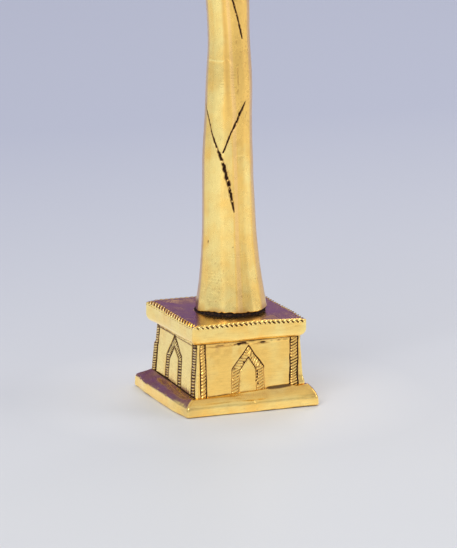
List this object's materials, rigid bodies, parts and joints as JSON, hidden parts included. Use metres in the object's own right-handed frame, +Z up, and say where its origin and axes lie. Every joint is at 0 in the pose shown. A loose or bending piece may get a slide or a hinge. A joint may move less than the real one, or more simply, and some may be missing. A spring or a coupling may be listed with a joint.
{
  "type": "souvenir bottle opener",
  "caption": "Cast brass bottle opener: a pointed loop on a tapering, leaning stem that stands on a stepped square plinth with engraved arches and rope borders.",
  "frame": {"origin": "on the ground under the middle of the plinth, which is the middle of the felt pad's underside", "axes": "+Z up the stem, -Y out of the plinth's front face, +X to the right seen from the front; the opener loop lies in the XZ plane"},
  "size_m": [0.0473, 0.046, 0.191],
  "materials": {
    "brass_plinth": "cast brass, filed flat and hand polished, dark in the engraved lines and at the joints",
    "brass_stem": "cast brass with long filed facets, softly polished, a few casting pits",
    "blackened_brass": "brass ring blackened by soldering heat and polish residue",
    "steel_fixing": "zinc plated steel",
    "felt": "dark pressed wool felt, glued in"
  },
  "bodies": {
    "root": {"foot_plate": "brass_plinth", "plinth_body": "brass_plinth", "cap_plate": "brass_plinth", "seat_washer": "blackened_brass", "stem": "brass_stem", "tie_stud": "steel_fixing", "stud_washer": "steel_fixing", "stud_nut": "steel_fixing", "base_pad": "felt", "neck_collar": "brass_stem", "opener_head": "brass_stem", "head_pin": "brass_stem"}
  },
  "joints": []
}
